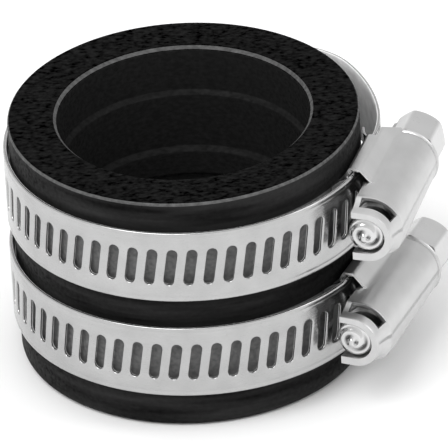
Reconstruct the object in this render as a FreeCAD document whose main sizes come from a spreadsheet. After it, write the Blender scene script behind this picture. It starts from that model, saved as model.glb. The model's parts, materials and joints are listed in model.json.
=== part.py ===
import FreeCAD, Part
import math
import os
import re

import Sketcher

# Rubber pipe coupling: a moulded sleeve that joins two waste pipes, with two
# perforated-band worm-drive clamps round it. Millimetres. +Z runs up the bore and
# the origin is the middle of the sleeve's bottom face.
#
# Each clamp is drawn in its own frame and then placed. There X points outwards
# through the worm screw's middle, Y runs along the screw from its tip to its head,
# and Z is up from the band's middle line.

DIMENSIONS = {
    # sleeve
    "sleeve_radius": 28.3,
    "sleeve_height": 42.0,
    "rim_radius": 21.0,
    "mouth_radius": 20.3,
    "mouth_depth": 8.0,
    "socket_radius": 19.6,
    "stop_radius": 18.8,
    "stop_height": 4.0,
    "top_edge_radius": 0.5,
    "bottom_edge_radius": 1.5,
    # where the clamps sit
    "upper_height": 31.15,
    "upper_azimuth": -18.5,
    "lower_height": 13.45,
    "lower_azimuth": -24.8,
    # perforated band
    "band_width": 12.7,
    "band_thickness": 0.6,
    "ring_radius": 29.7,
    "ring_offset": 0.8,
    "layer_drop": 0.8,
    "fixed_end_reach": 3.0,
    "fixed_end_half_width": 5.9,
    "layer_gap_level": 30.03,
    "tail_reach": 7.9,
    "tail_radius": 150.0,
    "exit_start": 6.6,
    "exit_turn": 22.0,
    "exit_radius": 21.8,
    "sweep_turn": 24.0,
    "sweep_radius": 36.0,
    "bulge_radius": 13.5,
    "plain_stretch": 106.0,
    "slot_pitch": 3.175,
    "slot_length": 6.6,
    "slot_width": 1.65,
    "slot_lean": 9.0,
    # saddle plate under the band
    "saddle_thickness": 0.35,
    "saddle_gap": 0.04,
    "saddle_width": 12.0,
    "saddle_neck": 11.0,
    "flange_top": 32.0,
    "joggle_start": 6.2,
    "joggle_back": 5.5,
    "joggle_radius": 1.6,
    "joggle_angle": 45.0,
    "joggle_run": 0.5,
    "tongue_angle": 20.0,
    "tongue_length": 1.6,
    # housing, measured from the screw's axis
    "screw_offset": 33.9,
    "crown_outer": 5.1,
    "crown_inner": 4.55,
    "crown_front": 10.5,
    "crown_back": 11.0,
    "wall_drop": 2.2,
    "leg_front": 5.8,
    "leg_back": 5.0,
    "leg_sheet": 0.35,
    "web_back": 7.7,
    "web_end_share": 0.15,
    "leg_top": 0.9,
    "leg_bend": 2.9,
    "leg_reach": 7.35,
    "leg_bottom": 4.7,
    "fold_reach": 6.0,
    "tab_bottom": 5.4,
    "tab_reach": 4.0,
    "collar_outer": 4.3,
    "collar_inner": 3.75,
    "collar_back": 12.3,
    "collar_front": 13.9,
    "window_length": 1.8,
    "window_low": 2.2,
    "far_window_low": 3.4,
    "window_drop": 1.5,
    "window_reach": 8.0,
    # worm screw
    "root_radius": 3.0,
    "worm_radius": 3.7,
    "worm_root_width": 1.3,
    "worm_crest_width": 0.8,
    "worm_front_turns": 3.0,
    "worm_back_turns": 2.0,
    "thread_sink": 0.15,
    "tip_reach": 13.3,
    "tip_radius": 2.2,
    "tip_chamfer": 0.8,
    "flange_radius": 4.25,
    "flange_front": 11.25,
    "head_front": 12.35,
    "head_back": 19.0,
    "head_across_flats": 7.94,
    "head_clocking": 38.0,
    "head_slot_width": 1.3,
    "head_slot_depth": 1.8,
    "head_slot_clocking": -28.0,
}

doc = FreeCAD.newDocument("pipe_coupling")
sheet = doc.addObject("Spreadsheet::Sheet", "dims")
for row, (alias, number) in enumerate(DIMENSIONS.items(), start=1):
    sheet.set(f"A{row}", alias)
    sheet.set(f"B{row}", str(number))
    sheet.setAlias(f"B{row}", alias)
doc.recompute()


def size(alias):
    """A dimension as the sheet holds it."""
    return float(sheet.get(alias))


def bound(text):
    """The same expression with each alias in it named as a cell of the sheet."""
    return re.sub(r"\b[a-z][a-z_]+\b(?!\()", r"dims.\g<0>", text)


# ---------------------------------------------------------------- sketch helpers
def new_body(label):
    """A PartDesign body whose name and label are the sub-part's."""
    body = doc.addObject("PartDesign::Body", label)
    body.Label = label
    return body


def new_sketch(body, name, plane, shift, turn=None):
    """A sketch on one of the body's origin planes, shifted by three expressions.

    turn is the expression for its angle in its own plane, if it has one.
    """
    sketch = body.newObject("Sketcher::SketchObject", name)
    support = [o for o in body.Origin.OriginFeatures if o.Role == plane][0]
    sketch.AttachmentSupport = [(support, "")]
    sketch.MapMode = "FlatFace"
    for axis, text in zip("xyz", shift):
        sketch.setExpression(f"AttachmentOffset.Base.{axis}", bound(text))
    if turn:
        sketch.setExpression("AttachmentOffset.Rotation.Angle", bound(turn))
    return sketch


def pin_point(sketch, edge, end, corner):
    """Hold one end of an edge at its two expressions from the sketch's origin."""
    for kind, text in zip(("DistanceX", "DistanceY"), corner):
        start = float(sketch.evalExpression(bound(text)))
        index = sketch.addConstraint(Sketcher.Constraint(kind, -1, 1, edge, end, start))
        sketch.setExpression(f"Constraints[{index}]", bound(text))


def add_outline(sketch, corners, arcs=None):
    """A closed outline through corners, each a pair of expressions.

    arcs gives the half-round edges, whose ends are above and below their centre:
    edge number -> the point that the arc passes through.
    """
    arcs = arcs or {}
    points = [
        FreeCAD.Vector(*(float(sketch.evalExpression(bound(text))) for text in corner))
        for corner in corners
    ]
    count = len(points)
    first = sketch.GeometryCount
    ends = []
    for i, point in enumerate(points):
        after = points[(i + 1) % count]
        if i in arcs:
            middle = [float(sketch.evalExpression(bound(text))) for text in arcs[i]]
            sketch.addGeometry(Part.Arc(point, FreeCAD.Vector(*middle), after))
        else:
            sketch.addGeometry(Part.LineSegment(point, after))
        forward = sketch.getPoint(first + i, 1).distanceToPoint(point) < 1e-6
        ends.append((1, 2) if forward else (2, 1))
    for i in range(count):
        after = (i + 1) % count
        sketch.addConstraint(
            Sketcher.Constraint("Coincident", first + i, ends[i][1], first + after, ends[after][0])
        )
    for i, corner in enumerate(corners):
        pin_point(sketch, first + i, ends[i][0], corner)
    for i in arcs:
        start = points[i].x
        index = sketch.addConstraint(Sketcher.Constraint("DistanceX", -1, 1, first + i, 3, start))
        sketch.setExpression(f"Constraints[{index}]", bound(corners[i][0]))


def add_feature(body, kind, name, sketch, **expressions):
    """A sketch-based feature with its properties bound to expressions."""
    feature = body.newObject(f"PartDesign::{kind}", name)
    feature.Profile = sketch
    for prop, text in expressions.items():
        feature.setExpression(prop, bound(text))
    body.Tip = feature
    return feature


# ---------------------------------------------------------------- sleeve
def make_sleeve():
    """The moulded rubber sleeve: two pipe sockets with a stop ridge between them."""
    body = new_body("rubber_sleeve")
    sketch = new_sketch(body, "sleeve_section", "XZ_Plane", ("0", "0", "0"))
    rim = "rim_radius - mouth_radius"
    step = "mouth_radius - socket_radius"
    ridge = "socket_radius - stop_radius"
    lower_stop = "(sleeve_height - stop_height) / 2"
    upper_stop = "(sleeve_height + stop_height) / 2"
    add_outline(
        sketch,
        [
            ("sleeve_radius", "0"),
            ("sleeve_radius", "sleeve_height"),
            ("rim_radius", "sleeve_height"),
            ("mouth_radius", f"sleeve_height - ({rim})"),
            ("mouth_radius", "sleeve_height - mouth_depth"),
            ("socket_radius", f"sleeve_height - mouth_depth - ({step})"),
            ("socket_radius", f"{upper_stop} + ({ridge})"),
            ("stop_radius", upper_stop),
            ("stop_radius", lower_stop),
            ("socket_radius", f"{lower_stop} - ({ridge})"),
            ("socket_radius", f"mouth_depth + ({step})"),
            ("mouth_radius", "mouth_depth"),
            ("mouth_radius", rim),
            ("rim_radius", "0"),
        ],
    )
    turned = add_feature(body, "Revolution", "sleeve_turned", sketch)
    turned.ReferenceAxis = (sketch, ["V_Axis"])
    turned.Angle = 360
    doc.recompute()
    base = turned
    for name, height, radius in (
        ("top_edge", size("sleeve_height"), "top_edge_radius"),
        ("bottom_edge", 0.0, "bottom_edge_radius"),
    ):
        edge = outer_edge(base.Shape, height)
        rounded = body.newObject("PartDesign::Fillet", name)
        rounded.Base = (base, [edge])
        rounded.setExpression("Radius", bound(radius))
        body.Tip = rounded
        doc.recompute()
        base = rounded
    return body


def outer_edge(shape, height):
    """The name of the sleeve's outer circle at one of its two faces."""
    for number, edge in enumerate(shape.Edges, start=1):
        box = edge.BoundBox
        level = box.ZLength < 1e-6 and abs(box.ZMax - height) < 1e-6
        if level and abs(box.XLength / 2 - size("sleeve_radius")) < 1e-6:
            return f"Edge{number}"
    raise ValueError(f"no outer edge at {height}")


# ---------------------------------------------------------------- bent strips
def outward(angle):
    """The direction across a strip whose line runs along +Y turned by angle."""
    return FreeCAD.Vector(math.cos(angle), math.sin(angle), 0)


def along(angle):
    """The direction that a strip's line runs in."""
    return FreeCAD.Vector(-math.sin(angle), math.cos(angle), 0)


def bent_strip(start, angle, moves, thickness, width):
    """A strip of sheet bent along a line, width tall, with the line in its middle.

    Each move is (distance, None) for a straight run, or (turn, radius) for a bend
    that turns the line by that angle: to the left with a radius over 0, to the
    right with a radius under 0.
    """
    sides = {1: [], -1: []}
    point = start - FreeCAD.Vector(0, 0, width / 2)
    for amount, radius in moves:
        if radius is None:
            after, turned = point + along(angle) * amount, angle
        else:
            centre = point - outward(angle) * radius
            turned = angle + math.copysign(amount, radius)
            after = centre + outward(turned) * radius
        for side, edges in sides.items():
            reach = side * thickness / 2
            begin = point + outward(angle) * reach
            end = after + outward(turned) * reach
            if radius is None:
                edges.append(Part.LineSegment(begin, end).toShape())
            else:
                halfway = (angle + turned) / 2
                middle = centre + outward(halfway) * (radius + reach)
                edges.append(Part.Arc(begin, middle, end).toShape())
        point, angle = after, turned
    outer, inner = sides[1], sides[-1]
    caps = [
        Part.makeLine(outer[0].firstVertex().Point, inner[0].firstVertex().Point),
        Part.makeLine(outer[-1].lastVertex().Point, inner[-1].lastVertex().Point),
    ]
    edges = Part.sortEdges(outer + inner + caps)[0]
    face = Part.Face(Part.Wire(edges))
    return face.extrude(FreeCAD.Vector(0, 0, width))


def slot_cutter():
    """One stadium-shaped slot, cut along X, leaning so that its top is nearer the head."""
    radius = size("slot_width") / 2
    straight = size("slot_length") - size("slot_width")
    depth = 6 * size("band_thickness")
    top = FreeCAD.Vector(-depth / 2, 0, straight / 2)
    bottom = FreeCAD.Vector(-depth / 2, 0, -straight / 2)
    side = FreeCAD.Vector(0, radius, 0)
    rise = FreeCAD.Vector(0, 0, radius)
    edges = [
        Part.makeLine(bottom + side, top + side),
        Part.Arc(top + side, top + rise, top - side).toShape(),
        Part.makeLine(top - side, bottom - side),
        Part.Arc(bottom - side, bottom - rise, bottom + side).toShape(),
    ]
    cutter = Part.Face(Part.Wire(edges)).extrude(FreeCAD.Vector(depth, 0, 0))
    cutter.rotate(FreeCAD.Vector(), FreeCAD.Vector(1, 0, 0), -size("slot_lean"))
    return cutter


def band_shape():
    """The clamp's one strip: fixed end, bulge, ring, and the free end over the fixed one."""
    thickness = size("band_thickness")
    width = size("band_width")
    ring = size("ring_radius")
    bulge = size("bulge_radius")
    tail_radius = size("tail_radius")
    ring_centre = FreeCAD.Vector(size("ring_offset"), 0, 0)
    outer_layer = size("ring_offset") + ring
    inner_layer = outer_layer - size("layer_drop")

    # the strip runs straight through the housing and leaves it on two arcs, turns on
    # the bulge's small one and meets the ring on a run that touches both circles
    straight_in = size("fixed_end_reach") + size("exit_start")
    exit_turn = math.radians(size("exit_turn"))
    sweep_turn = math.radians(size("sweep_turn"))
    turned = exit_turn + sweep_turn
    first_centre = FreeCAD.Vector(inner_layer - size("exit_radius"), size("exit_start"), 0)
    second_centre = first_centre + outward(exit_turn) * (size("exit_radius") - size("sweep_radius"))
    bulge_centre = second_centre + outward(turned) * (size("sweep_radius") - bulge)
    apart = bulge_centre - ring_centre
    toward = math.atan2(apart.y, apart.x)
    meeting = toward + math.acos((ring - bulge) / apart.Length)
    last_run = apart.dot(along(meeting)) * -1
    tail_turn = math.asin(size("tail_reach") / tail_radius)

    start = FreeCAD.Vector(inner_layer, -size("fixed_end_reach"), 0)
    moves = [
        (straight_in, None),
        (exit_turn, size("exit_radius")),
        (sweep_turn, size("sweep_radius")),
        (meeting - turned, bulge),
        (last_run, None),
        (2 * math.pi - meeting, ring),
        (tail_turn, tail_radius),
    ]
    strip = bent_strip(start, 0.0, moves, thickness, width)

    # the fixed end is narrowed where the housing's legs fold under it
    level = size("layer_gap_level")
    neck_end = size("leg_back") + size("saddle_gap")
    for side in (1, -1):
        bottom = size("fixed_end_half_width") if side > 0 else -width
        corner = FreeCAD.Vector(level - 2 * thickness, -width, bottom)
        depth = width - size("fixed_end_half_width")
        strip = strip.cut(Part.makeBox(2 * thickness, width + neck_end, depth, corner))

    # slots at the worm's pitch, counted both ways from the screw's middle
    pitch = size("slot_pitch")
    slotted = 2 * math.pi - math.radians(size("plain_stretch"))
    ring_slots = int(slotted * ring / pitch)
    tail_slots = int((size("tail_reach") - size("slot_width") / 2) / pitch)
    tail_centre = FreeCAD.Vector(outer_layer - tail_radius, 0, 0)
    places = [(ring_centre, ring, -k * pitch / ring) for k in range(ring_slots + 1)]
    places += [(tail_centre, tail_radius, k * pitch / tail_radius) for k in range(1, tail_slots + 1)]
    cutters = []
    for centre, radius, angle in places:
        cutter = slot_cutter()
        turn = FreeCAD.Rotation(FreeCAD.Vector(0, 0, 1), math.degrees(angle))
        cutter.Placement = FreeCAD.Placement(centre + outward(angle) * radius, turn) * cutter.Placement
        cutters.append(cutter)
    return strip.cut(Part.makeCompound(cutters))


def offset_line(points, distance):
    """The line through points moved to its left by distance, with mitred corners."""
    runs = [(b - a).normalize() for a, b in zip(points, points[1:])]
    lefts = [FreeCAD.Vector(-run.z, 0, run.x) for run in runs]
    moved = [points[0] + lefts[0] * distance]
    for point, before, after in zip(points[1:], lefts, lefts[1:]):
        moved.append(point + (before + after) * (distance / (1 + before.dot(after))))
    moved.append(points[-1] + lefts[-1] * distance)
    return moved


def leg_line():
    """The outside of a housing leg in the clamp's frame, from the crown down to its tab."""
    axis = size("screw_offset")
    return [
        FreeCAD.Vector(axis - size("leg_top"), 0, size("crown_outer")),
        FreeCAD.Vector(axis - size("leg_bend"), 0, size("leg_reach")),
        FreeCAD.Vector(axis - size("leg_bottom"), 0, size("leg_reach")),
        FreeCAD.Vector(axis - size("tab_bottom"), 0, size("fold_reach")),
        FreeCAD.Vector(axis - size("tab_bottom"), 0, 0),
    ]


def saddle_shape():
    """The plate under the band: a tray inside the legs, with a tongue at each end."""
    thickness = size("saddle_thickness")
    outside = size("leg_sheet") + size("saddle_gap")

    # the tray's section follows the leg's inside from the flange's top to the middle
    outer = offset_line(leg_line(), outside)
    inner = offset_line(leg_line(), outside + thickness)
    for line in (outer, inner):
        share = (size("flange_top") - line[1].x) / (line[0].x - line[1].x)
        line[0] = line[1] + (line[0] - line[1]) * share
    half = outer + inner[::-1]
    run = size("leg_front") + size("leg_back") - 2 * thickness
    tray = Part.Face(Part.makePolygon(half + half[:1])).extrude(FreeCAD.Vector(0, run, 0))
    tray.translate(FreeCAD.Vector(0, thickness - size("leg_front"), 0))
    mirrored = tray.mirror(FreeCAD.Vector(), FreeCAD.Vector(0, 0, 1))

    down = math.radians(size("joggle_angle"))
    back_up = down - math.radians(size("tongue_angle"))
    tongue = [
        (size("tongue_length"), None),
        (back_up, -size("joggle_radius")),
        (size("joggle_run"), None),
        (down, size("joggle_radius")),
    ]
    moves = tongue + [(size("joggle_start") + size("joggle_back"), None)] + tongue[::-1]
    # drawn from the tongue's tip, then moved so that the flat plate lies on its seat
    first = -math.radians(size("tongue_angle"))
    point, angle = FreeCAD.Vector(), first
    for amount, radius in tongue:
        if radius is None:
            point = point + along(angle) * amount
        else:
            turned = angle + math.copysign(amount, radius)
            point = point - outward(angle) * radius + outward(turned) * radius
            angle = turned
    seat = (outer[-1].x + inner[-1].x) / 2
    start = FreeCAD.Vector(seat, -size("joggle_start"), 0) - point
    plate = bent_strip(start, first, moves, thickness, size("saddle_width"))
    for side in (1, -1):
        bottom = size("saddle_neck") / 2 if side > 0 else -size("saddle_width")
        depth = size("saddle_width") - size("saddle_neck") / 2
        neck_start = -size("leg_front") - size("saddle_gap")
        neck = size("leg_front") + size("leg_back") + 2 * size("saddle_gap")
        corner = FreeCAD.Vector(seat - thickness, neck_start, bottom)
        plate = plate.cut(Part.makeBox(2 * thickness, neck, depth, corner))
    return plate.fuse([tray, mirrored]).removeSplitter()


# ---------------------------------------------------------------- housing
def crown_outline(sketch, outer, inner):
    """A U of sheet over the screw, open towards the band."""
    add_outline(
        sketch,
        [
            ("0", outer),
            ("0", f"-{outer}"),
            ("-wall_drop", f"-{outer}"),
            ("-wall_drop", f"-{inner}"),
            ("0", f"-{inner}"),
            ("0", inner),
            ("-wall_drop", inner),
            ("-wall_drop", outer),
        ],
        arcs={0: (outer, "0"), 4: (inner, "0")},
    )


def make_housing(label):
    """The folded crown over the worm: arch, two legs round the band, webs and a front collar."""
    body = new_body(label)

    def section(name, y):
        """A sketch across the screw at a given Y, drawn from the screw's axis."""
        return new_sketch(body, f"{label}_{name}", "XZ_Plane", ("screw_offset", "0", f"-({y})"))

    crown = section("crown", "crown_back")
    crown_outline(crown, "crown_outer", "crown_inner")
    add_feature(body, "Pad", f"{label}_arch", crown, Length="crown_back + crown_front")

    legs = section("legs", "leg_back")
    slant = "sqrt(pow(leg_reach - crown_outer; 2) + pow(leg_bend - leg_top; 2))"
    slant_across = f"(leg_bend - leg_top) / {slant}"
    slant_down = f"(leg_reach - crown_outer) / {slant}"
    fold = "sqrt(pow(leg_reach - fold_reach; 2) + pow(tab_bottom - leg_bottom; 2))"
    fold_across = f"(leg_reach - fold_reach) / {fold}"
    fold_down = f"(tab_bottom - leg_bottom) / {fold}"
    for sign in ("", "-"):
        add_outline(
            legs,
            [
                ("-leg_top", f"{sign}crown_outer"),
                ("-leg_bend", f"{sign}leg_reach"),
                ("-leg_bottom", f"{sign}leg_reach"),
                ("-tab_bottom", f"{sign}fold_reach"),
                ("-tab_bottom", f"{sign}tab_reach"),
                ("-tab_bottom + leg_sheet", f"{sign}tab_reach"),
                (
                    "-tab_bottom + leg_sheet",
                    f"{sign}(fold_reach - leg_sheet * {fold_down} / (1 + {fold_across}))",
                ),
                (
                    f"-leg_bottom + leg_sheet * (1 - {fold_down}) / ({fold_across})",
                    f"{sign}(leg_reach - leg_sheet)",
                ),
                (
                    f"-leg_bend - leg_sheet * {slant_down} / (1 + {slant_across})",
                    f"{sign}(leg_reach - leg_sheet)",
                ),
                (
                    f"-leg_top - leg_sheet * {slant_down}",
                    f"{sign}(crown_outer - leg_sheet * {slant_across})",
                ),
            ],
        )
    add_feature(body, "Pad", f"{label}_folds", legs, Length="leg_back + leg_front")

    # behind each leg its slanting part runs on as a web and dies out on the crown
    inside = "crown_outer - leg_sheet"
    for side, sign in (("upper", ""), ("lower", "-")):
        webs = []
        for end, y, share in (("start", "web_back", "1"), ("end", "crown_back", "web_end_share")):
            web = section(f"{side}_web_{end}", y)
            across = f"(leg_bend - leg_top) * {share}"
            down = f"(leg_reach - crown_outer) * {share}"
            add_outline(
                web,
                [
                    ("-leg_top", f"{sign}crown_outer"),
                    (f"-leg_top - {across}", f"{sign}(crown_outer + {down})"),
                    (f"-leg_top - {across} - leg_sheet / 2", f"{sign}({inside} + {down})"),
                    ("-leg_top - leg_sheet / 2", f"{sign}({inside})"),
                ],
            )
            webs.append(web)
        add_feature(body, "Pad", f"{label}_{side}_web", webs[0], Length="web_back - leg_back")
        loft = add_feature(body, "AdditiveLoft", f"{label}_{side}_web_tail", webs[0])
        loft.Sections = [webs[1]]

    behind = section("behind_collar", "-crown_front")
    crown_outline(behind, "crown_outer", "crown_inner")
    collar = section("collar", "-collar_back")
    crown_outline(collar, "collar_outer", "collar_inner")
    loft = add_feature(body, "AdditiveLoft", f"{label}_nose", behind)
    loft.Sections = [collar]
    ring = section("ring", "-collar_back")
    crown_outline(ring, "collar_outer", "collar_inner")
    add_feature(body, "Pad", f"{label}_collar", ring, Length="collar_front - collar_back")

    windows = section("windows", "-(crown_front + window_length)")
    for sign, low in (("", "window_low"), ("-", "far_window_low")):
        add_outline(
            windows,
            [
                ("-window_drop", f"{sign}{low}"),
                ("window_reach", f"{sign}{low}"),
                ("window_reach", f"{sign}window_reach"),
                ("-window_drop", f"{sign}window_reach"),
            ],
        )
    before = doc_volume(body)
    pocket = add_feature(body, "Pocket", f"{label}_windows", windows, Length="window_length")
    pocket.Reversed = True
    doc.recompute()
    if not body.Shape.Volume < before:
        raise ValueError(f"{label}: the windows cut nothing")
    return body


def doc_volume(body):
    """A body's volume after everything so far has been worked out."""
    doc.recompute()
    return body.Shape.Volume


# ---------------------------------------------------------------- worm screw
def make_screw(label):
    """The slotted hex-head worm screw, right-handed, drawn round its own axis."""
    body = new_body(label)
    shift = ("screw_offset", "0", "0")

    shank = new_sketch(body, f"{label}_shank", "XY_Plane", shift)
    add_outline(
        shank,
        [
            ("0", "-tip_reach"),
            ("tip_radius", "-tip_reach"),
            ("root_radius", "-tip_reach + tip_chamfer"),
            ("root_radius", "flange_front"),
            ("flange_radius", "flange_front"),
            ("flange_radius", "head_front"),
            ("0", "head_front"),
        ],
    )
    turned = add_feature(body, "Revolution", f"{label}_turned", shank)
    turned.ReferenceAxis = (shank, ["V_Axis"])
    turned.Angle = 360
    doc.recompute()

    behind_head = ("screw_offset", "0", "-head_back")
    head = new_sketch(body, f"{label}_head", "XZ_Plane", behind_head, "head_clocking")
    flat = "head_across_flats / 2"
    corner = "head_across_flats / sqrt(3)"
    add_outline(
        head,
        [
            (corner, "0"),
            (f"{corner} / 2", flat),
            (f"-{corner} / 2", flat),
            (f"-{corner}", "0"),
            (f"-{corner} / 2", f"-{flat}"),
            (f"{corner} / 2", f"-{flat}"),
        ],
    )
    add_feature(body, "Pad", f"{label}_hexagon", head, Length="head_back - head_front")

    thread = new_sketch(body, f"{label}_thread", "XY_Plane", shift)
    first = "-worm_front_turns * slot_pitch"
    buried = "root_radius - thread_sink"
    add_outline(
        thread,
        [
            (f"-({buried})", f"{first} - worm_root_width / 2"),
            ("-worm_radius", f"{first} - worm_crest_width / 2"),
            ("-worm_radius", f"{first} + worm_crest_width / 2"),
            (f"-({buried})", f"{first} + worm_root_width / 2"),
        ],
    )
    before = doc_volume(body)
    helix = body.newObject("PartDesign::AdditiveHelix", f"{label}_worm")
    helix.Profile = thread
    helix.ReferenceAxis = (thread, ["V_Axis"])
    helix.Mode = "pitch-height-angle"
    helix.setExpression("Pitch", bound("slot_pitch"))
    helix.setExpression("Height", bound("(worm_front_turns + worm_back_turns) * slot_pitch"))
    body.Tip = helix
    if not doc_volume(body) > before:
        raise ValueError(f"{label}: the worm added nothing")

    slot = new_sketch(body, f"{label}_slot", "XZ_Plane", behind_head, "head_slot_clocking")
    half = "head_slot_width / 2"
    add_outline(
        slot,
        [
            ("-head_across_flats", f"-{half}"),
            ("head_across_flats", f"-{half}"),
            ("head_across_flats", half),
            ("-head_across_flats", half),
        ],
    )
    before = doc_volume(body)
    pocket = add_feature(body, "Pocket", f"{label}_driver_slot", slot, Length="head_slot_depth")
    pocket.Reversed = True
    if not doc_volume(body) < before:
        raise ValueError(f"{label}: the driver slot cut nothing")
    return body


# ---------------------------------------------------------------- assembly
def make_feature(label, shape):
    """A sub-part whose shape is worked out above from the sheet's values."""
    feature = doc.addObject("Part::Feature", label)
    feature.Label = label
    feature.Shape = shape
    return feature


def place_on_sleeve(piece, clamp):
    """Turn and lift a piece from the clamp's own frame to its place on the sleeve."""
    piece.setExpression("Placement.Base.z", bound(f"{clamp}_height"))
    piece.setExpression("Placement.Rotation.Angle", bound(f"{clamp}_azimuth"))


def make_clamp(clamp):
    """One worm-drive clamp's four pieces."""
    pieces = [
        make_feature(f"{clamp}_band", band_shape()),
        make_feature(f"{clamp}_saddle", saddle_shape()),
        make_housing(f"{clamp}_housing"),
        make_screw(f"{clamp}_worm_screw"),
    ]
    for piece in pieces:
        place_on_sleeve(piece, clamp)
    return pieces


subparts = [make_sleeve()]
for clamp_name in ("upper", "lower"):
    subparts += make_clamp(clamp_name)
doc.recompute()

for item in doc.Objects:
    if "Invalid" in item.State or "Error" in item.State:
        raise RuntimeError(f"{item.Label} didn't compute: {item.State}")
for piece in subparts:
    if piece.Shape.isNull() or not piece.Shape.isValid():
        raise RuntimeError(f"{piece.Label} has no valid shape")
    if len(piece.Shape.Solids) != 1:
        raise RuntimeError(f"{piece.Label} is {len(piece.Shape.Solids)} solids")

os.makedirs("parts", exist_ok=True)
for piece in subparts:
    piece.Shape.exportStep(f"parts/{piece.Label}.step")
    print(piece.Label, round(piece.Shape.Volume, 1), piece.Shape.BoundBox)
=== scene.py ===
import json
import math

import bpy
import numpy as np
from mathutils import Matrix, Vector


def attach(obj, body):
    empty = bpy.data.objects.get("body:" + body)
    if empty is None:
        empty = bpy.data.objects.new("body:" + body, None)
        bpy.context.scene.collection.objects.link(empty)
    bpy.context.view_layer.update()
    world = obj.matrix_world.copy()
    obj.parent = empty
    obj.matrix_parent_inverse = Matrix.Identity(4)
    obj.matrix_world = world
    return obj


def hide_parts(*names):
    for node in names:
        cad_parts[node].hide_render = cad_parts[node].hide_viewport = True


# A rubber pipe coupling with two worm-drive clamps, on a pale floor.
#
# Lengths below are in millimetres and are scaled to metres when a mesh is made, apart
# from the places of the lamps and the camera.
# Each clamp is drawn in its own frame: X outwards through the worm screw's middle,
# Y along the screw from its tip to its head, Z up from the band's middle line.

MM = 0.001

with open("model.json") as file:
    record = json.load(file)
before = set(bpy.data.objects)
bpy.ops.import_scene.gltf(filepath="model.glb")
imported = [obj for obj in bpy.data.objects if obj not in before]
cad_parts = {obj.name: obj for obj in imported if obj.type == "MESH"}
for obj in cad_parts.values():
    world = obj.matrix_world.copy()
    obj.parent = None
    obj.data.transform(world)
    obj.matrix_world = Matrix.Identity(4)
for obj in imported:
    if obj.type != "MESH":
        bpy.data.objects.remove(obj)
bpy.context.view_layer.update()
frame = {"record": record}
record = frame["record"]


def joint_place(name):
    """A joint's place in the record, in metres."""
    joint = [j for j in record["behaviour"]["joints"] if j["name"] == name][0]
    return joint["pos_m"]


# ---------------------------------------------------------------- sizes
SLEEVE_RADIUS = 28.3
SLEEVE_HEIGHT = 42.0
SLEEVE_SEGMENTS = 288
STOP_HALF = 2.0
MOUTH_DEPTH = 8.0
BORE = {"rim": 21.0, "mouth": 20.3, "socket": 19.6, "stop": 18.8}

BAND_WIDTH = 12.7
BAND_THICKNESS = 0.6
RING_RADIUS = 29.7
RING_OFFSET = 0.8
FREE_LEVEL = RING_OFFSET + RING_RADIUS
FIXED_LEVEL = FREE_LEVEL - 0.8
FIXED_END_REACH = 3.0
TAIL_REACH = 7.9
TAIL_RADIUS = 150.0
EXIT_START = 6.6
EXIT_TURN = math.radians(22)
EXIT_RADIUS = 21.8
SWEEP_TURN = math.radians(24)
SWEEP_RADIUS = 36.0
BULGE_RADIUS = 13.5
PLAIN_STRETCH = math.radians(106)
SLOT_PITCH = 3.175
SLOT_LENGTH = 6.6
SLOT_WIDTH = 1.65
SLOT_LEAN = math.radians(9)

SCREW_OFFSET = 33.9
CROWN_RADIUS = 5.1
CROWN_SHEET = 0.5
COLLAR_BORE = 3.2
CROWN_BACK = 11.0
CROWN_FRONT = -10.5
COLLAR_BACK = -12.3
COLLAR_FRONT = -13.9
COLLAR_RADIUS = 4.3
WALL_DROP = 2.2
LEG_FRONT = -5.8
LEG_BACK = 5.0
WEB_BACK = 7.7
LEG_SHEET = 0.35
SADDLE_SHEET = 0.35
SADDLE_GAP = 0.04
LEG_CORNERS = [(33.0, 5.1), (31.0, 7.35), (29.2, 7.35), (28.5, 6.0), (28.5, 4.0)]
TRAY_TOP = 32.0
TRAY_CLEARANCE = 0.3
PLATE_WIDTH = 12.0
PLATE_FRONT = -6.2
PLATE_LENGTH = 11.7
TONGUE_BEND = 1.6
TONGUE_TIP = 1.6
TONGUE_NECK = 0.5
TONGUE_DROP = math.radians(45)
TONGUE_LIFT = math.radians(25)

ROOT_RADIUS = 3.0
WORM_RADIUS = 3.7
TIP_REACH = -13.3
TIP_RADIUS = 2.8
TIP_DOME = 0.7
SPIRAL_PITCH = 1.7
SPIRAL_DEPTH = 0.25
SPIRAL_EDGE = 0.6
SPIRAL_CENTRE = 0.4
# how darkly the tip's spiral groove is painted, as painted shade, from its depth
GROOVE_SHADE_GAIN = 1.4
GROOVE_SHADE_OFFSET = 0.2
FLANGE_RADIUS = 4.25
FLANGE_FRONT = 11.25
HEAD_FRONT = 12.35
HEAD_BACK = 19.0
ACROSS_FLATS = 7.94
HEAD_CORNER_RADIUS = 4.46
HEAD_CHAMFER = 0.75
CHAMFER_INSET = 0.3
CHAMFER_SLOPE = 1.1
HEAD_FACE_RADIUS = 3.4
HEAD_CLOCKING = math.radians(38)
DRIVER_SLOT_CLOCKING = math.radians(-28)
DRIVER_SLOT_WIDTH = 1.3
DRIVER_SLOT_DEPTH = 1.8


# ---------------------------------------------------------------- mesh helpers
def clamp_matrix(clamp):
    """From a clamp's own frame in millimetres to the row frame in metres."""
    x, y, z = joint_place(f"{clamp}_screw_turn")
    turn = Matrix.Rotation(math.atan2(y, x), 4, "Z")
    return Matrix.Translation((0, 0, z)) @ turn @ Matrix.Scale(MM, 4)


def make_mesh(name, points, faces, grain=None):
    """A mesh object from points in millimetres; grain is a texture place for each point."""
    mesh = bpy.data.meshes.new(name)
    mesh.from_pydata([tuple(p) for p in points], [], faces)
    mesh.update()
    if grain is not None:
        layer = mesh.attributes.new("grain", "FLOAT_VECTOR", "POINT")
        layer.data.foreach_set("vector", np.asarray(grain, np.float32).ravel())
    obj = bpy.data.objects.new(name, mesh)
    bpy.context.scene.collection.objects.link(obj)
    return obj


def pick_only(obj):
    """Make obj the one selected and active object."""
    bpy.ops.object.select_all(action="DESELECT")
    bpy.context.view_layer.objects.active = obj
    obj.select_set(True)


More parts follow.
